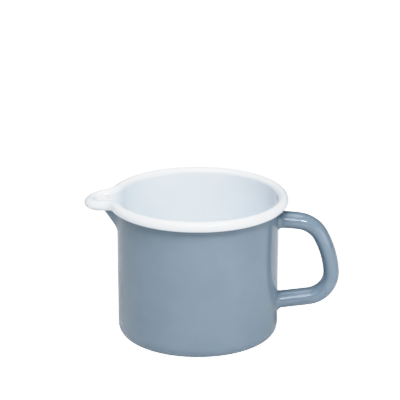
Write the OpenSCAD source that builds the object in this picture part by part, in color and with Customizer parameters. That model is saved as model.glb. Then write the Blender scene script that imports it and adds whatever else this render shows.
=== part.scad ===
// Small enamelled milk pot: a drawn steel pot with a rolled rim and a pinched
// pouring spout, and a hollow D handle welded on opposite the spout.
// Origin: on the pot's axis, on the plane it stands on. +Z up, handle towards +X,
// spout towards -X.

/* [Pot] */
// Outer diameter of the wall just under the rim
pot_d = 90; // [89.5:0.1:91]
// How much narrower the wall is at its foot, for the drawing draft
pot_draft = 0.8; // [0:0.1:1.6]
// Overall height, to the top of the rim
pot_h = 81.2; // [76:0.2:90]
// Radius of the round corner between wall and floor
corner_r = 6; // [4:0.5:9]
// Thickness of the sheet steel
steel_t = 0.6; // [0.5:0.05:0.8]
// Thickness of each coat of enamel
coat_t = 0.2; // [0.15:0.05:0.3]

/* [Rim] */
// Diameter of the rolled rim, with its enamel
rim_bead_d = 5.8; // [5.5:0.1:6.4]
// Outer diameter over the rolled rim
rim_d = 100.5; // [100:0.1:101]

/* [Spout] */
// Radius of the rim's centre line around the tip of the spout
spout_tip_r = 9.5; // [8.5:0.1:10.5]
// Distance from the pot's axis to the centre of that curve
spout_reach = 50.5; // [49:0.1:52]
// Radius of the hollow curves that lead from the round rim into the spout
spout_flank_r = 8.9; // [8:0.1:11]
// How far the rim dips towards the tip
spout_dip = 1.8; // [0:0.1:3]
// How much wider the rolled rim is pressed at the tip, towards the pot
spout_lip = 2.3; // [1.5:0.1:2.6]
// How far below the middle of the rim the spout leaves the wall
spout_depth = 15.5; // [14:0.1:18]
// Half height of the soft bend where the spout leaves the wall
spout_bend = 3; // [2:0.5:4]

/* [Handle] */
// Width of the handle's section, across the hand
grip_w = 12.8; // [11:0.1:14]
// Thickness of the handle's section
grip_t = 8.9; // [8:0.1:9.6]
// Squareness of the section: 2 is an ellipse
grip_square = 2.15; // [2:0.05:2.6]
// Height of the upper arm's centre line where it meets the pot
handle_top_z = 66.1; // [64:0.1:66.6]
// Slope of the upper arm where it meets the pot, in degrees
arm_slope = 1.2; // [0.5:0.1:2]
// Radius of the gently bowed upper arm
arm_r = 75; // [70:1:80]
// Turn of the upper arm, in degrees
arm_turn = 7.3; // [6.8:0.1:8]
// Radius of the upper corner
upper_corner_r = 16.3; // [16:0.1:17]
// Turn of the upper corner, in degrees
upper_corner_turn = 53.3; // [52.5:0.1:54]
// Radius of the long back
back_r = 53; // [52:0.5:55]
// Turn of the back, in degrees
back_turn = 23.5; // [23:0.1:24]
// Radius of the lower corner
lower_corner_r = 14.5; // [14:0.1:15]
// Turn of the lower corner, in degrees
lower_corner_turn = 87.9; // [87:0.1:89]
// Leg of the weld fillet around each end of the handle
weld_leg = 2; // [1.5:0.1:2.2]

/* [Hidden] */

steel_colour = [0.55, 0.56, 0.57];
white_colour = [0.93, 0.95, 0.96];
blue_colour = [0.55, 0.62, 0.69];
weld_colour = [0.52, 0.59, 0.66];

top_r = pot_d / 2;
foot_r = top_r - pot_draft / 2;
bead_r = rim_bead_d / 2;
ring_r = rim_d / 2 - bead_r;
ring_z = pot_h - bead_r;
wall_t = steel_t + 2 * coat_t;
root_z = ring_z - spout_depth;
blend_z = root_z - spout_bend;

// Clearance between the wall and what is welded to it
weld_gap = 0.02;

// ---- the wall and rim, as one section that follows the rim's outline ----

// Outer radius of the wall at a height
function wall_r(z) = foot_r + (top_r - foot_r) * z / ring_z;

// A point of the section is [plan, rise, radius, height, offset, lift].
// plan and rise run from 0 on the round wall to 1 on the rim's outline.
function on_round(r, z) = [0, 0, r, z, 0, 0];
function on_rim(r, a) = [1, 1, 0, 0, r * cos(a), r * sin(a)];

// Soft ramp: nothing below the bend, a straight slope above it
function ramp(u) = u <= -spout_bend ? 0
    : u >= spout_bend ? u
    : pow(u + spout_bend, 2) / (4 * spout_bend);

// Points up the wall, from the foot of the bend to a place on the rim
function rising(depth, offset, lift) = let (span = ring_z + lift - blend_z)
    [for (u = [-1, -0.5, 0, 0.5, 1, 3])
        [ramp(u * spout_bend) / (span - spout_bend), (u + 1) * spout_bend / span,
         wall_r(blend_z) - depth, blend_z, offset, lift]];

// Angles on the bead, from a level wall to a leaning spout: where the outside
// runs into it from below, and where the inside runs onto it
wall_touch = acos((top_r - ring_r) / bead_r);
touch_turn = 23;
lip_turn = 37;
function touch(lean) = -wall_touch - lean * touch_turn;
function lip(lean) = 180 - lean * lip_turn;

// Angle between the wall and the edge of the sheet, where the roll stays open
curl_gap = 16;
function around(r, a_from, a_to, n) = [for (i = [0:n]) on_rim(r, a_from + (a_to - a_from) * i / n)];

// Points from the edge of the flat floor, around the corner and onto the wall
function lower(depth) = [for (a = [0:22.5:90])
    on_round(foot_r - corner_r + (corner_r - depth) * sin(a), corner_r - (corner_r - depth) * cos(a))];

// One side of the wall, floor to rim, at a depth under the outer surface
function side(depth, offset, lift) = concat(lower(depth), rising(depth, offset, lift));

// Each section is [up, down]: up its inner side and onto the bead, then down its
// outer side. Lean is 0 on the round wall and 1 at the tip of the spout.
function lining_section(lean) = let (a = touch(lean), b = lip(lean), curl_r = bead_r - coat_t) [
    concat(
        side(wall_t, bead_r * cos(b), bead_r * sin(b)),
        around(bead_r, b, a, 10)),
    concat(
        around(curl_r, a + curl_gap, b, 9),
        reverse(side(wall_t - coat_t, curl_r * cos(b), curl_r * sin(b))))];

function steel_section(lean) = let (a = touch(lean), b = lip(lean), curl_r = bead_r - coat_t,
        x = bead_r * cos(a) - coat_t, z = bead_r * sin(a)) [
    concat(
        side(wall_t - coat_t, curl_r * cos(b), curl_r * sin(b)),
        around(curl_r, b, a + curl_gap, 9)),
    concat(
        around(curl_r - steel_t, a + curl_gap, b, 6),
        [on_rim(norm([x, z]), atan2(z, x))],
        reverse(side(coat_t, x, z)))];

function coat_section(lean) = let (a = touch(lean), x = bead_r * cos(a), z = bead_r * sin(a)) [
    concat(
        side(coat_t, x - coat_t, z),
        [on_rim(norm([x - coat_t, z]), atan2(z, x - coat_t))]),
    concat(
        [on_rim(bead_r, a)],
        reverse(side(0, x, z)))];

function reverse(list) = [for (i = [len(list) - 1:-1:0]) list[i]];

// ---- the rim's outline in plan, with the spout along +X ----

flank_c = ring_r + spout_flank_r;
tip_c = spout_tip_r + spout_flank_r;
flank_a = acos((pow(flank_c, 2) + pow(spout_reach, 2) - pow(tip_c, 2)) / (2 * flank_c * spout_reach));
flank_x = flank_c * cos(flank_a);
flank_y = flank_c * sin(flank_a);
tip_a = atan2(flank_y, flank_x - spout_reach);

// A station is [centre x, centre y, radius, side, angle] on one arc of the outline.
half_outline = concat(
    [for (i = [0:7]) [spout_reach, 0, spout_tip_r, 1, tip_a * i / 7]],
    [for (i = [1:6]) [flank_x, flank_y, spout_flank_r, -1, 180 + tip_a + (flank_a - tip_a) * i / 6]],
    [for (i = [1:20]) [0, 0, ring_r, 1, flank_a + (180 - flank_a) * i / 20]]);
outline = concat(
    half_outline,
    [for (i = [len(half_outline) - 2:-1:1]) let (s = half_outline[i]) [s[0], -s[1], s[2], s[3], -s[4]]]);

// A point of the outline, moved sideways by an offset
function plan(s, offset) = let (r = s[2] + s[3] * offset) [s[0] + r * cos(s[4]), s[1] + r * sin(s[4])];

tip_x = spout_reach + spout_tip_r;
function lean_at(s) = max(0, (norm(plan(s, 0)) - ring_r) / (tip_x - ring_r));

// Share of the lip's extra width that a point on the bead takes: none on its
// outer side, all of it on its inner side
function pressed(offset, lift) = let (r = norm([offset, lift])) r == 0 ? 0 : (1 - offset / r) / 2;

// A section's point at a station, in space
function placed(p, s) = let (
    rim = plan(s, p[4] - spout_lip * lean_at(s) * pressed(p[4], p[5])),
    side = plan(s, top_r - ring_r),
    wall = side / norm(side) * p[2],
    xy = (1 - p[0]) * wall + p[0] * rim,
    z = (1 - p[1]) * p[3] + p[1] * (ring_z - spout_dip * lean_at(s) + p[5]))
    [xy[0], xy[1], z];

// Skin over rings of n points, each ring closed on itself. The last ring joins
// the first again when the sweep is a closed one.
function skin(rings, n, closed) = [for (i = [0:rings - (closed ? 1 : 2)], j = [0:n - 1])
    let (h = (i + 1) % rings, k = (j + 1) % n)
    each [[i * n + j, h * n + j, i * n + k], [i * n + k, h * n + j, h * n + k]]];

// Solid swept through rings, with a flat end at the first and last ring
module swept(points, rings, n) {
    polyhedron(points = points, convexity = 10, faces = concat(
        skin(rings, n, false),
        [[for (j = [0:n - 1]) j]],
        [[for (j = [n - 1:-1:0]) (rings - 1) * n + j]]));
}

// Solid swept around a closed path, from rings
module swept_around(points, rings, n) {
    polyhedron(points = points, faces = skin(rings, n, true), convexity = 10);
}

// ---- pot ----

// Solid of one layer of the pot: its section carried around the outline, and
// closed across the floor by a disc at each end of the section. The triangles slant
// alike on both ways of the section, so that neighbouring layers share their faces.
module layer(sections) {
    n_up = len(sections[0][0]);
    n = n_up + len(sections[0][1]);
    rings = len(outline);
    rotate([0, 0, 180])
        polyhedron(
            points = [for (i = [0:rings - 1], way = sections[i], p = way) placed(p, outline[i])],
            convexity = 10,
            faces = concat(
                [for (i = [0:rings - 1], j = [0:n - 2]) let (p = i * n + j, q = (i + 1) % rings * n + j)
                    each j < n_up
                        ? [[p, q, p + 1], [p + 1, q, q + 1]]
                        : [[p, q, q + 1], [p, q + 1, p + 1]]],
                [[for (i = [rings - 1:-1:0]) i * n]],
                [[for (i = [0:rings - 1]) i * n + n - 1]]));
}

module steel_pot_shell() {
    color(steel_colour)
        layer([for (s = outline) steel_section(lean_at(s))]);
}

module white_enamel_lining() {
    color(white_colour)
        layer([for (s = outline) lining_section(lean_at(s))]);
}

module grey_blue_enamel_coat() {
    color(blue_colour)
        layer([for (s = outline) coat_section(lean_at(s))]);
}

// ---- handle ----

// A pose is [x, z, heading]: a place on the centre line and the way it runs.
function turned(pose, r, a) = let (h = pose[2], c = [pose[0] + r * sin(h), pose[1] - r * cos(h)])
    [c[0] - r * sin(h - a), c[1] + r * cos(h - a), h - a];
function bend(pose, r, a, n) = [for (i = [1:n]) turned(pose, r, a * i / n)];
function last(list) = list[len(list) - 1];

arm_start = [top_r + weld_leg, handle_top_z, -arm_slope];
arm = concat([arm_start], bend(arm_start, arm_r, arm_turn, 2));
upper_corner = bend(last(arm), upper_corner_r, upper_corner_turn, 7);
back = bend(last(upper_corner), back_r, back_turn, 4);
lower_corner = bend(last(back), lower_corner_r, lower_corner_turn, 11);
arm_end = let (p = last(lower_corner), run = p[0] - foot_r - weld_leg)
    [foot_r + weld_leg, p[1] - run * tan(p[2]), p[2]];
centre_line = concat(arm, upper_corner, back, lower_corner, [arm_end]);

// A point of the section, inset from the outside of the handle, at an angle
function power(v) = sign(v) * pow(abs(v), 2 / grip_square);
function section_point(inset, a) =
    [(grip_t / 2 - inset) * power(cos(a)), (grip_w / 2 - inset) * power(sin(a))];

// The same point in space, at a pose
function at_pose(pose, q) = [pose[0] - q[0] * sin(pose[2]), q[1], pose[1] + q[0] * cos(pose[2])];

// The point run on along the arm until it meets the wall of the pot
function at_wall(pose, q) = let (
    p = at_pose(pose, q),
    x = sqrt(pow(wall_r(p[2]) + weld_gap, 2) - pow(p[1], 2)))
    [x, p[1], p[2] + (x - p[0]) * tan(pose[2])];

function handle_points(loop) = concat(
    [for (q = loop) at_wall(centre_line[0], q)],
    [for (pose = centre_line, q = loop) at_pose(pose, q)],
    [for (q = loop) at_wall(last(centre_line), q)]);

around_step = 18;
section_angles = [for (a = [360 - around_step:-around_step:0]) a];
function half_loop(side) = concat(
    [for (a = [0:around_step:180]) section_point(coat_t, side * a)],
    [for (a = [180:-around_step:0]) section_point(coat_t + steel_t, side * a)]);

module half_shell(side) {
    loop = side > 0 ? reverse(half_loop(1)) : half_loop(-1);
    swept(handle_points(loop), len(centre_line) + 2, len(loop));
}

module handle_left_half_shell() {
    color(steel_colour)
        half_shell(1);
}

module handle_right_half_shell() {
    color(steel_colour)
        half_shell(-1);
}

// A skin over the handle, open at the core, with its edges closed along both ends
module handle_enamel_coat() {
    rings = len(centre_line) + 2;
    outside = [for (a = section_angles) section_point(0, a)];
    inside = [for (a = section_angles) section_point(coat_t, a)];
    n = len(outside);
    first_inside = rings * n;
    end = first_inside - n;
    color(blue_colour)
        polyhedron(
            points = concat(handle_points(outside), handle_points(inside)),
            convexity = 10,
            faces = concat(
                skin(rings, n, false),
                [for (f = skin(rings, n, false)) [for (v = reverse(f)) v + first_inside]],
                [for (j = [0:n - 1]) let (k = (j + 1) % n)
                    each [[j, k, first_inside + j], [k, first_inside + k, first_inside + j]]],
                [for (j = [0:n - 1]) let (k = (j + 1) % n, e = end + j, f = end + k)
                    each [[f, e, first_inside + e], [f, first_inside + e, first_inside + f]]]));
}

// Fillet around one end of the handle: foot on the wall, leg on the arm, hollow face
module weld(pose, angles) {
    loops = [for (a = angles) let (
        q = section_point(0, a),
        foot = at_wall(pose, q),
        leg = at_pose(pose, q),
        toe = at_wall(pose, section_point(-weld_leg, a)),
        hollow = (foot + leg + toe) / 3)
        [foot, leg, hollow, toe]];
    swept_around([for (l = loops, p = l) p], len(loops), len(loops[0]));
}

module upper_handle_weld() {
    color(weld_colour)
        weld(centre_line[0], section_angles);
}

module lower_handle_weld() {
    color(weld_colour)
        weld(last(centre_line), reverse(section_angles));
}

steel_pot_shell();
white_enamel_lining();
grey_blue_enamel_coat();
handle_left_half_shell();
handle_right_half_shell();
handle_enamel_coat();
upper_handle_weld();
lower_handle_weld();
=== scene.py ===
import math

import bpy
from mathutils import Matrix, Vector


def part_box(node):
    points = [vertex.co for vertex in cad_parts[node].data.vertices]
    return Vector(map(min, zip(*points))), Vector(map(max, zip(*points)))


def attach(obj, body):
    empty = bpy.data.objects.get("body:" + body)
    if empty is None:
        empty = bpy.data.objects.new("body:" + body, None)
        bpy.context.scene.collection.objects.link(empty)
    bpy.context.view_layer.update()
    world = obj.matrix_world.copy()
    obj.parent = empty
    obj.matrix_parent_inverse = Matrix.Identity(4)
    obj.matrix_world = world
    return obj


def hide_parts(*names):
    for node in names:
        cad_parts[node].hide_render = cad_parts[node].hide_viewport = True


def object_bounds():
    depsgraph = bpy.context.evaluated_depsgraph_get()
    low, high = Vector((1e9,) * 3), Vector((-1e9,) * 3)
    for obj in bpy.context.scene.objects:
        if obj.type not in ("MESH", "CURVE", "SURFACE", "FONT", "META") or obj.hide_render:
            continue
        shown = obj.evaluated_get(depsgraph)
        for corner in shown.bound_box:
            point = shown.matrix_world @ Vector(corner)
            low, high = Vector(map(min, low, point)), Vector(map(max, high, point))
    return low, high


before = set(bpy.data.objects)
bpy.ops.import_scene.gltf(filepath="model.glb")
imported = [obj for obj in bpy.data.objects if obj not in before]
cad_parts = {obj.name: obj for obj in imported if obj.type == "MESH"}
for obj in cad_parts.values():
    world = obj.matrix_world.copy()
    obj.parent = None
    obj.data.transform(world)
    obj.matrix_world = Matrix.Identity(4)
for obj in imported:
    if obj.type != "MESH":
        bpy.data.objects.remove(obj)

cad_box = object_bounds()

MM = 0.001


# ---------------------------------------------------------------- sizes

# Read from the frame, in metres
lining_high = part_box("white_enamel_lining")[1]
steel_low, steel_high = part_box("steel_pot_shell")
grip_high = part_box("handle_enamel_coat")[1]

POT_H = lining_high.z
COAT_T = steel_low.z
RIM_R = steel_high.x + COAT_T
BEAD_R = 2.9 * MM
TOP_R = 45.0 * MM
FOOT_R = 44.6 * MM
WALL_T = 1.0 * MM
CORNER_R = 6.0 * MM

# The middle of the rolled rim
RING_R = RIM_R - BEAD_R
RING_Z = POT_H - BEAD_R

# Angle on the bead where the outside of the wall meets it, and the gap left in the roll
WALL_TOUCH = math.acos((TOP_R - RING_R) / BEAD_R)
CURL_GAP = math.radians(16)

# The spout: plan radii, how far out its tip's arc is centred, and how it drops and widens
SPOUT_TIP_R = 9.5 * MM
SPOUT_REACH = 50.5 * MM
SPOUT_FLANK_R = 8.9 * MM
SPOUT_DIP = 1.8 * MM
SPOUT_LIP = 2.3 * MM

# The heights where the spout leaves the round wall
SPOUT_DEPTH = 15.5 * MM
SPOUT_BEND = 3.0 * MM
BLEND_Z = RING_Z - SPOUT_DEPTH - SPOUT_BEND

# How far the wall's meeting points move round the bead, at the tip of the spout
TOUCH_TURN = math.radians(23)
LIP_TURN = math.radians(37)

# The handle's section
GRIP_W = 2 * grip_high.y
GRIP_T = 8.9 * MM
GRIP_SQUARE = 2.15

# The handle's line: x, z and heading where its upper arm starts, then radius, turn
# and steps of each bend
WELD_LEG = 2.0 * MM
ARM_START = (TOP_R + WELD_LEG, 66.1 * MM, math.radians(-1.2))
BENDS = (
    (75.0 * MM, math.radians(7.3), 6),
    (16.3 * MM, math.radians(53.3), 24),
    (53.0 * MM, math.radians(23.5), 16),
    (14.5 * MM, math.radians(87.9), 32),
)

# How far the handle's ends run into the wall's enamel
ARM_SINK = 0.12 * MM

# The welds: size, waves around and share of the phase of each lump, then the fillet's shape
WELD_LUMPS = ((0.14, 5, 1.0), (0.10, 9, 2.3), (0.06, 17, 0.0))
WELD_SPREAD = 0.86
WELD_FILL = 0.18
WELD_LUMP_FILL = 0.9
LEG_SINK = 0.01 * MM
TOE_SINK = 0.03 * MM
BACK_INSET = 0.05 * MM
BACK_SINK = 0.08 * MM

# Steps of the meshes
TIP_STEPS = 28
FLANK_STEPS = 24
ROUND_STEPS = 120
BEAD_STEPS = 48
HIDDEN_BEAD_STEPS = 24
WALL_STEPS = 26
LOWER_WALL_STEPS = 12
CORNER_STEPS = 10
FLOOR_SHARES = (0.02, 0.2, 0.4, 0.6, 0.75, 0.9)
GRIP_STEPS = 64
ARM_STEPS = 6
WELD_AROUND = 96
WELD_ACROSS = 10


# ---------------------------------------------------------------- meshes

def make_object(name, points, faces, smooth=True):
    """A mesh object from points and faces."""
    mesh = bpy.data.meshes.new(name)
    mesh.from_pydata([tuple(p) for p in points], [], faces)
    mesh.validate()
    mesh.update()
    piece = bpy.data.objects.new(name, mesh)
    bpy.context.scene.collection.objects.link(piece)
    if smooth:
        mesh.shade_smooth()
    return piece


def skin_faces(rings, n, around, along):
    """Quads over rings of n points. around joins the last ring to the first,
    along joins the last point of a ring to its first."""
    faces = []
    for i in range(rings if around else rings - 1):
        h = (i + 1) % rings
        for j in range(n if along else n - 1):
            k = (j + 1) % n
            faces.append((i * n + j, h * n + j, h * n + k, i * n + k))
    return faces


def arc_steps(first, last, count, with_first=True):
    """Angles along an arc."""
    start = 0 if with_first else 1
    return [first + (last - first) * i / count for i in range(start, count + 1)]


# ---------------------------------------------------------------- the pot

def wall_r(z):
    """Outer radius of the wall at a height."""
    return FOOT_R + (TOP_R - FOOT_R) * z / RING_Z


def spout_outline():
    """Stations around the rim: centre x and y, radius, side and angle of one arc each."""
    flank_c = RING_R + SPOUT_FLANK_R
    tip_c = SPOUT_TIP_R + SPOUT_FLANK_R
    flank_a = math.acos((flank_c ** 2 + SPOUT_REACH ** 2 - tip_c ** 2) / (2 * flank_c * SPOUT_REACH))
    flank_x = flank_c * math.cos(flank_a)
    flank_y = flank_c * math.sin(flank_a)
    tip_a = math.atan2(flank_y, flank_x - SPOUT_REACH)
    half = [(SPOUT_REACH, 0, SPOUT_TIP_R, 1, a) for a in arc_steps(0, tip_a, TIP_STEPS)]
    for a in arc_steps(tip_a, flank_a, FLANK_STEPS, False):
        half.append((flank_x, flank_y, SPOUT_FLANK_R, -1, math.pi + a))
    half += [(0, 0, RING_R, 1, a) for a in arc_steps(flank_a, math.pi, ROUND_STEPS, False)]
    mirrored = [(x, -y, r, side, -a) for x, y, r, side, a in half[-2:0:-1]]
    return half + mirrored


def plan(station, offset):
    """A point of the outline in plan, moved sideways by an offset."""
    x, y, r, side, a = station
    reach = r + side * offset
    return Vector((x + reach * math.cos(a), y + reach * math.sin(a)))


def lean_at(station):
    """0 on the round wall, 1 at the tip of the spout."""
    out = plan(station, 0).length - RING_R
    return max(0.0, out / (SPOUT_REACH + SPOUT_TIP_R - RING_R))


def pressed(offset, lift):
    """Share of the lip's extra width that a point on the bead takes, all on its inner side."""
    r = math.hypot(offset, lift)
    return 0.0 if r == 0 else (1 - offset / r) / 2


def placed(point, station):
    """A section's point at a station, in space. The spout points along -X.
    A point is its shares of the rim's plan and height, its radius and height on the
    round wall, and its offset and lift from the middle of the bead."""
    along, rise, r, z, offset, lift = point
    rim = plan(station, offset - SPOUT_LIP * lean_at(station) * pressed(offset, lift))
    wall = plan(station, TOP_R - RING_R).normalized() * r
    xy = wall * (1 - along) + rim * along
    height = z * (1 - rise) + rise * (RING_Z - SPOUT_DIP * lean_at(station) + lift)
    return Vector((-xy.x, -xy.y, height))


def ramp(u):
    """Nothing below the bend, a straight slope above it, and a soft turn between."""
    if u <= -SPOUT_BEND:
        return 0.0
    if u >= SPOUT_BEND:
        return u
    return (u + SPOUT_BEND) ** 2 / (4 * SPOUT_BEND)


def rising(depth, offset, lift):
    """Points up the wall, from the foot of the spout's bend to a place on the rim."""
    span = RING_Z + lift - BLEND_Z
    points = []
    for i in range(WALL_STEPS):
        u = span * i / WALL_STEPS
        along = ramp(u - SPOUT_BEND) / (span - SPOUT_BEND)
        points.append((along, u / span, wall_r(BLEND_Z) - depth, BLEND_Z, offset, lift))
    return points


def lower(depth):
    """Points from the middle of the floor, around the corner and up the wall."""
    edge = FOOT_R - CORNER_R
    r = CORNER_R - depth
    points = [(0, 0, edge * share, depth, 0, 0) for share in FLOOR_SHARES]
    for a in arc_steps(0, math.pi / 2, CORNER_STEPS):
        points.append((0, 0, edge + r * math.sin(a), CORNER_R - r * math.cos(a), 0, 0))
    for i in range(1, LOWER_WALL_STEPS):
        z = CORNER_R + (BLEND_Z - CORNER_R) * i / LOWER_WALL_STEPS
        points.append((0, 0, wall_r(z) - depth, z, 0, 0))
    return points


def touch(lean):
    """Angle on the bead where the outside of the wall runs into it."""
    return -WALL_TOUCH - lean * TOUCH_TURN


def lip(lean):
    """Angle on the bead where the inside of the wall runs onto it."""
    return math.pi - lean * LIP_TURN


def on_bead(r, a):
    """A point at a radius and an angle from the middle of the bead."""
    return r * math.cos(a), r * math.sin(a)


def bead(r, first, last, count):
    """Points around the rolled rim."""
    return [(1, 1, 0, 0, *on_bead(r, a)) for a in arc_steps(first, last, count)]


def lining_section(lean):
    """White enamel: up the inside, over the bead, and back behind it."""
    a = touch(lean)
    b = lip(lean)
    back_r = BEAD_R - COAT_T
    front = lower(WALL_T) + rising(WALL_T, *on_bead(BEAD_R, b))
    behind = lower(WALL_T - COAT_T) + rising(WALL_T - COAT_T, *on_bead(back_r, b))
    over = bead(BEAD_R, b, a, BEAD_STEPS)
    back = bead(back_r, a + CURL_GAP, b, HIDDEN_BEAD_STEPS)
    return front + over + back + behind[::-1]


def coat_section(lean):
    """Grey-blue enamel: up behind it, and down the outside from the crease."""
    x, z = on_bead(BEAD_R, touch(lean))
    behind = lower(COAT_T) + rising(COAT_T, x - COAT_T, z)
    front = lower(0) + rising(0, x, z)
    return behind + [(1, 1, 0, 0, x - COAT_T, z), (1, 1, 0, 0, x, z)] + front[::-1]


def pot_layer(name, section):
    """One layer of the pot: its section carried around the rim's outline."""
    outline = spout_outline()
    sections = [section(lean_at(s)) for s in outline]
    n = len(sections[0])
    rings = len(outline)
    points = [placed(p, s) for s, ring in zip(outline, sections) for p in ring]
    faces = skin_faces(rings, n, True, False)
    faces.append(tuple(i * n for i in reversed(range(rings))))
    faces.append(tuple(i * n + n - 1 for i in range(rings)))
    return make_object(name, points, faces)


# ---------------------------------------------------------------- the handle

def turned(pose, r, a):
    """A pose carried round a bend: x, z and heading."""
    x, z, h = pose
    cx = x + r * math.sin(h)
    cz = z - r * math.cos(h)
    return (cx - r * math.sin(h - a), cz + r * math.cos(h - a), h - a)


def handle_line():
    """Poses along the handle's centre line, from the upper arm to the lower one."""
    poses = [ARM_START]
    for r, turn, count in BENDS:
        start = poses[-1]
        poses += [turned(start, r, turn * i / count) for i in range(1, count + 1)]
    x, z, h = poses[-1]
    run = x - FOOT_R - WELD_LEG
    for i in range(1, ARM_STEPS + 1):
        share = i / ARM_STEPS
        poses.append((x - run * share, z - run * share * math.tan(h), h))
    return poses


def rounded(v):
    """A cosine or sine pushed out towards a square."""
    return math.copysign(abs(v) ** (2 / GRIP_SQUARE), v)


def section_point(inset, a):
    """A point of the handle's section."""
    return (GRIP_T / 2 - inset) * rounded(math.cos(a)), (GRIP_W / 2 - inset) * rounded(math.sin(a))


def at_pose(pose, q):
    """A section's point in space, at a pose."""
    x, z, h = pose
    return Vector((x - q[0] * math.sin(h), q[1], z + q[0] * math.cos(h)))


def at_wall(pose, q, sink):
    """The same point run on along the arm until it meets the wall, and sunk into it."""
    p = at_pose(pose, q)
    x = math.sqrt((wall_r(p.z) - sink) ** 2 - p.y ** 2)
    return Vector((x, p.y, p.z + (x - p.x) * math.tan(pose[2])))


def handle_skin(poses):
    """The enamelled handle, closed at both ends inside the wall's enamel."""
    around = [section_point(0, 2 * math.pi * i / GRIP_STEPS) for i in range(GRIP_STEPS)]
    rings = [[at_wall(poses[0], q, ARM_SINK) for q in around]]
    rings += [[at_pose(p, q) for q in around] for p in poses]
    rings += [[at_wall(poses[-1], q, ARM_SINK) for q in around]]
    points = [p for ring in rings for p in ring]
    faces = skin_faces(len(rings), GRIP_STEPS, False, True)
    faces.append(tuple(range(GRIP_STEPS)))
    faces.append(tuple((len(rings) - 1) * GRIP_STEPS + j for j in reversed(range(GRIP_STEPS))))
    return make_object("handle_skin", points, faces)


def weld_fillet(name, pose, phase):
    """The hollow, slightly lumpy fillet where an arm meets the wall."""
    rings = []
    for i in range(WELD_AROUND):
        a = 2 * math.pi * i / WELD_AROUND
        lump = sum(size * math.sin(waves * a + share * phase) for size, waves, share in WELD_LUMPS)
        foot = at_wall(pose, section_point(0, a), 0)
        leg = at_pose(pose, section_point(LEG_SINK, a))
        toe = at_wall(pose, section_point(-WELD_LEG * (WELD_SPREAD + lump), a), TOE_SINK)
        corner = foot.lerp((leg + toe) / 2, WELD_FILL + WELD_LUMP_FILL * abs(lump))
        ring = []
        for j in range(WELD_ACROSS + 1):
            t = j / WELD_ACROSS
            ring.append(leg * (1 - t) ** 2 + corner * 2 * t * (1 - t) + toe * t ** 2)
        ring.append(at_wall(pose, section_point(BACK_INSET, a), BACK_SINK))
        rings.append(ring)
    points = [p for ring in rings for p in ring]
    return make_object(name, points, skin_faces(WELD_AROUND, WELD_ACROSS + 2, True, True))


# ---------------------------------------------------------------- materials

def srgb(r, g, b):
    """Screen colour, 0 to 255, as a linear colour."""
    linear = []
    for value in (r, g, b):
        v = value / 255
        linear.append(v / 12.92 if v <= 0.04045 else ((v + 0.055) / 1.055) ** 2.4)
    return (*linear, 1.0)


WHITE = srgb(241, 246, 251)
WHITE_DEEP = srgb(238, 244, 250)
WHITE_SPECK = srgb(214, 218, 222)
WHITE_ROUGH = 0.09

BLUE = srgb(143, 159, 173)
BLUE_DEEP = srgb(139, 155, 169)
BLUE_SPECK = srgb(126, 140, 154)
BLUE_ROUGH = 0.06

ENAMEL_IOR = 1.52

STEEL = srgb(150, 152, 154)
STEEL_DARK = srgb(128, 130, 133)

PAPER = (0.87, 0.87, 0.87, 1.0)
PAPER_FIBRE = (0.85, 0.85, 0.85, 1.0)

# The ground as the camera sees it: the strength of its white, also used for the air,
# and the share of the lit paper, with its shadows, that is added to it
GROUND_WHITE = 1.65
PAPER_SHARE = 0.15


class Nodes:
    """Short calls for building a node material."""

    def __init__(self, name):
        self.material = bpy.data.materials.new(name)
        self.material.use_nodes = True
        self.tree = self.material.node_tree
        self.shader = self.tree.nodes["Principled BSDF"]
        self.place = self.add("ShaderNodeTexCoord").outputs["Object"]

    def add(self, kind, **values):
        node = self.tree.nodes.new(kind)
        for key, value in values.items():
            setattr(node, key, value)
        return node

    def link(self, source, target):
        self.tree.links.new(source, target)

    def set(self, socket, value):
        """A constant or a link, on one of the shader's sockets."""
        if isinstance(value, float):
            self.shader.inputs[socket].default_value = value
        else:
            self.link(value, self.shader.inputs[socket])

    def noise(self, scale, detail=2.0, roughness=0.5):
        node = self.add("ShaderNodeTexNoise")
        self.link(self.place, node.inputs["Vector"])
        node.inputs["Scale"].default_value = scale
        node.inputs["Detail"].default_value = detail
        node.inputs["Roughness"].default_value = roughness
        return node.outputs["Fac"]

    def spread(self, source, low, high, to_low=0.0, to_high=1.0):
        """A range of values stretched over another."""
        node = self.add("ShaderNodeMapRange")
        self.link(source, node.inputs["Value"])
        node.inputs["From Min"].default_value = low
        node.inputs["From Max"].default_value = high
        node.inputs["To Min"].default_value = to_low
        node.inputs["To Max"].default_value = to_high
        return node.outputs["Result"]

    def mix(self, share, first, second):
        """Two colours mixed. Each may be a constant or a link."""
        node = self.add("ShaderNodeMix", data_type="RGBA")
        self.link(share, node.inputs["Factor"])
        for value, socket in ((first, node.inputs["A"]), (second, node.inputs["B"])):
            if isinstance(value, tuple):
                socket.default_value = value
            else:
                self.link(value, socket)
        return node.outputs["Result"]

    def combine(self, operation, first, second):
        node = self.add("ShaderNodeMath", operation=operation)
        self.link(first, node.inputs[0])
        self.link(second, node.inputs[1])
        return node.outputs["Value"]

    def specks(self, scale, size, share):
        """Small round dots, on a share of the cells that the surface is cut into."""
        cells = self.add("ShaderNodeTexVoronoi")
        self.link(self.place, cells.inputs["Vector"])
        cells.inputs["Scale"].default_value = scale
        tint = self.add("ShaderNodeSeparateColor")
        self.link(cells.outputs["Color"], tint.inputs["Color"])
        dot = self.spread(cells.outputs["Distance"], size / 2, size, 1, 0)
        chosen = self.spread(tint.outputs["Red"], share, share + 0.01, 1, 0)
        return self.combine("MULTIPLY", dot, chosen)

    def bump(self, height, strength, distance, below=None):
        """A normal raised by a height, over the normal of another bump."""
        node = self.add("ShaderNodeBump")
        node.inputs["Strength"].default_value = strength
        node.inputs["Distance"].default_value = distance
        self.link(height, node.inputs["Height"])
        if below is not None:
            self.link(below, node.inputs["Normal"])
        return node.outputs["Normal"]


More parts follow.
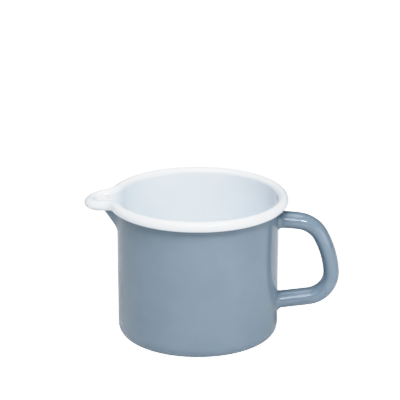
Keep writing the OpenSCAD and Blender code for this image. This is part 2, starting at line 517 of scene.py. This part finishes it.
def enamel(name, colour, deep, speck, rough):
    """Vitreous enamel: a glassy coat with cloudy depth, a few specks and a faint orange peel."""
    m = Nodes(name)
    cloud = m.spread(m.noise(38, detail=3, roughness=0.55), 0.35, 0.65)
    specks = m.specks(330, size=0.07, share=0.12)
    m.set("Base Color", m.mix(specks, m.mix(cloud, colour, deep), speck))
    smudge = m.spread(m.noise(26, detail=5, roughness=0.6), 0.5, 0.8, to_high=0.08)
    fine = m.spread(m.noise(240), 0.3, 0.7, rough, rough + 0.04)
    m.set("Roughness", m.combine("ADD", fine, smudge))
    m.set("IOR", ENAMEL_IOR)
    pits = m.bump(m.spread(specks, 0, 1, 1, 0), strength=0.4, distance=0.03 * MM)
    peel = m.bump(m.noise(420, detail=1), strength=0.035, distance=0.3 * MM, below=pits)
    m.set("Normal", m.bump(m.noise(70, detail=1), strength=0.08, distance=0.5 * MM, below=peel))
    return m.material


def bare_steel(name):
    """Sheet steel as it comes from the press, under the enamel."""
    m = Nodes(name)
    m.set("Base Color", m.mix(m.spread(m.noise(900, detail=4), 0.3, 0.7), STEEL, STEEL_DARK))
    m.set("Metallic", 1.0)
    m.set("Roughness", m.spread(m.noise(300), 0.3, 0.7, 0.3, 0.45))
    m.set("Normal", m.bump(m.noise(1200), strength=0.1, distance=0.1 * MM))
    return m.material


def studio_paper(name):
    """Pale paper that lights the pot from below. The camera sees it as nearly white,
    with only a faint share of its shadows."""
    m = Nodes(name)
    m.set("Base Color", m.mix(m.spread(m.noise(60, detail=3), 0.3, 0.7), PAPER, PAPER_FIBRE))
    m.set("Roughness", 0.9)
    m.set("Specular IOR Level", 0.0)
    paper = m.shader.outputs["BSDF"]
    glow = m.add("ShaderNodeEmission")
    glow.inputs["Strength"].default_value = GROUND_WHITE
    black = m.add("ShaderNodeEmission")
    black.inputs["Strength"].default_value = 0.0
    faint = m.add("ShaderNodeMixShader")
    faint.inputs["Fac"].default_value = PAPER_SHARE
    m.link(black.outputs["Emission"], faint.inputs[1])
    m.link(paper, faint.inputs[2])
    seen = m.add("ShaderNodeAddShader")
    m.link(faint.outputs["Shader"], seen.inputs[0])
    m.link(glow.outputs["Emission"], seen.inputs[1])
    path = m.add("ShaderNodeLightPath")
    choose = m.add("ShaderNodeMixShader")
    m.link(path.outputs["Is Camera Ray"], choose.inputs["Fac"])
    m.link(paper, choose.inputs[1])
    m.link(seen.outputs["Shader"], choose.inputs[2])
    m.link(choose.outputs["Shader"], m.tree.nodes["Material Output"].inputs["Surface"])
    return m.material


# ---------------------------------------------------------------- build

def finish_piece(piece, material, slot, *nodes):
    """Material, body, and the CAD nodes that a piece stands for, which are hidden. The slot is not
    used.
    """
    piece.data.materials.clear()
    piece.data.materials.append(material)
    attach(piece, "root")
    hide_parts(*nodes)


white = enamel("white_enamel", WHITE, WHITE_DEEP, WHITE_SPECK, WHITE_ROUGH)
blue = enamel("grey_blue_enamel", BLUE, BLUE_DEEP, BLUE_SPECK, BLUE_ROUGH)
steel = bare_steel("bare_steel")

line = handle_line()
lining = pot_layer("white_lining_and_rim", lining_section)
outside = pot_layer("grey_blue_outside", coat_section)
grip = handle_skin(line)
upper_weld = weld_fillet("upper_weld_fillet", line[0], 0.4)
lower_weld = weld_fillet("lower_weld_fillet", line[-1], 2.1)

finish_piece(lining, white, "white_enamel", "white_enamel_lining")
finish_piece(outside, blue, "grey_blue_enamel", "grey_blue_enamel_coat")
finish_piece(grip, blue, "grey_blue_enamel", "handle_enamel_coat")
finish_piece(upper_weld, blue, "grey_blue_enamel", "upper_handle_weld")
finish_piece(lower_weld, blue, "grey_blue_enamel", "lower_handle_weld")

for node in ("steel_pot_shell", "handle_left_half_shell", "handle_right_half_shell"):
    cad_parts[node].data.materials.clear()
    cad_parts[node].data.materials.append(steel)


# ---------------------------------------------------------------- studio

CAMERA_BACK = 1.21058
CAMERA_UP = 0.49317
CAMERA_TILT = 0.330756
CAMERA_PAN = 0.000995
CAMERA_LENS = 207.94
CAMERA_SENSOR = 36
CAMERA_NEAR = 0.05
CAMERA_FAR = 50

FLOOR_SIZE = 30.0

# Azimuth and elevation from the pot, width, height and power of each light
LIGHTS = (
    ("strip", 4, 46, 1.1, 0.12, 8.4),
    ("key", 5, 62, 0.5, 0.5, 2.8),
    ("key_right", 35, 50, 0.3, 0.3, 5.0),
    ("over_left", -45, 65, 1.2, 1.2, 11.0),
    ("fill_right", 60, 8, 1.0, 1.0, 8.4),
    ("fill_left", -60, 8, 1.0, 1.0, 1.9),
    ("behind", 180, 65, 1.0, 1.0, 6.3),
)
LIGHT_DISTANCE = 1.5
AIM = (0, 0, 0.04)

# Light to tone: a little is taken off the shadows, and the whites roll off softly
TONE = (
    (0.08, 0.0),
    (0.44, 0.36),
    (0.84, 0.76),
    (0.94, 0.83),
    (1.04, 0.869),
    (1.2, 0.91),
    (1.42, 0.955),
    (1.62, 1.0),
)
ALL_CHANNELS = 3


def add_camera():
    """The camera of the picture: a long lens, a little above the rim."""
    data = bpy.data.cameras.new("camera")
    data.lens = CAMERA_LENS
    data.sensor_width = CAMERA_SENSOR
    data.clip_start = CAMERA_NEAR
    data.clip_end = CAMERA_FAR
    camera = bpy.data.objects.new("camera", data)
    bpy.context.scene.collection.objects.link(camera)
    camera.location = (0, -CAMERA_BACK, CAMERA_UP)
    camera.rotation_euler = (math.pi / 2 - CAMERA_TILT, 0, -CAMERA_PAN)
    bpy.context.scene.camera = camera


def add_floor():
    """A plain pale floor under the pot."""
    h = FLOOR_SIZE / 2
    z = cad_box[0][2]
    corners = [(-h, -h, z), (h, -h, z), (h, h, z), (-h, h, z)]
    floor = make_object("floor", corners, [(0, 1, 2, 3)], False)
    floor.data.materials.append(studio_paper("studio_paper"))


def add_world():
    """Dark air, so that only the lights light the pot. The camera sees the ground's white."""
    world = bpy.data.worlds.new("studio_air")
    world.use_nodes = True
    tree = world.node_tree
    dark = tree.nodes["Background"]
    dark.inputs["Strength"].default_value = 0.0
    seen = tree.nodes.new("ShaderNodeBackground")
    seen.inputs["Color"].default_value = (1, 1, 1, 1)
    seen.inputs["Strength"].default_value = GROUND_WHITE
    path = tree.nodes.new("ShaderNodeLightPath")
    choose = tree.nodes.new("ShaderNodeMixShader")
    tree.links.new(path.outputs["Is Camera Ray"], choose.inputs["Fac"])
    tree.links.new(dark.outputs["Background"], choose.inputs[1])
    tree.links.new(seen.outputs["Background"], choose.inputs[2])
    tree.links.new(choose.outputs["Shader"], tree.nodes["World Output"].inputs["Surface"])
    bpy.context.scene.world = world


def around_pot(azimuth, elevation, distance):
    """A place at an angle from the pot. Azimuth 0 is in front, 90 on the handle's side."""
    a = math.radians(azimuth)
    e = math.radians(elevation)
    flat = distance * math.cos(e)
    return Vector((flat * math.sin(a), -flat * math.cos(a), distance * math.sin(e)))


def add_light(name, azimuth, elevation, width, height, power):
    """A soft rectangular light aimed at the pot."""
    data = bpy.data.lights.new(name, "AREA")
    data.shape = "RECTANGLE"
    data.size = width
    data.size_y = height
    data.energy = power
    light = bpy.data.objects.new(name, data)
    bpy.context.scene.collection.objects.link(light)
    place = around_pot(azimuth, elevation, LIGHT_DISTANCE)
    light.location = place
    light.rotation_euler = (Vector(AIM) - place).to_track_quat("-Z", "Y").to_euler()


def set_tone():
    """The picture's tone curve."""
    view = bpy.context.scene.view_settings
    view.view_transform = "Standard"
    view.use_curve_mapping = True
    view.curve_mapping.use_clip = False
    curve = view.curve_mapping.curves[ALL_CHANNELS]
    curve.points[0].location = TONE[0]
    curve.points[-1].location = TONE[-1]
    for light, tone in TONE[1:-1]:
        curve.points.new(light, tone)
    for point in curve.points:
        point.handle_type = "VECTOR"
    view.curve_mapping.update()


add_camera()
add_floor()
add_world()
for row in LIGHTS:
    add_light(*row)
set_tone()
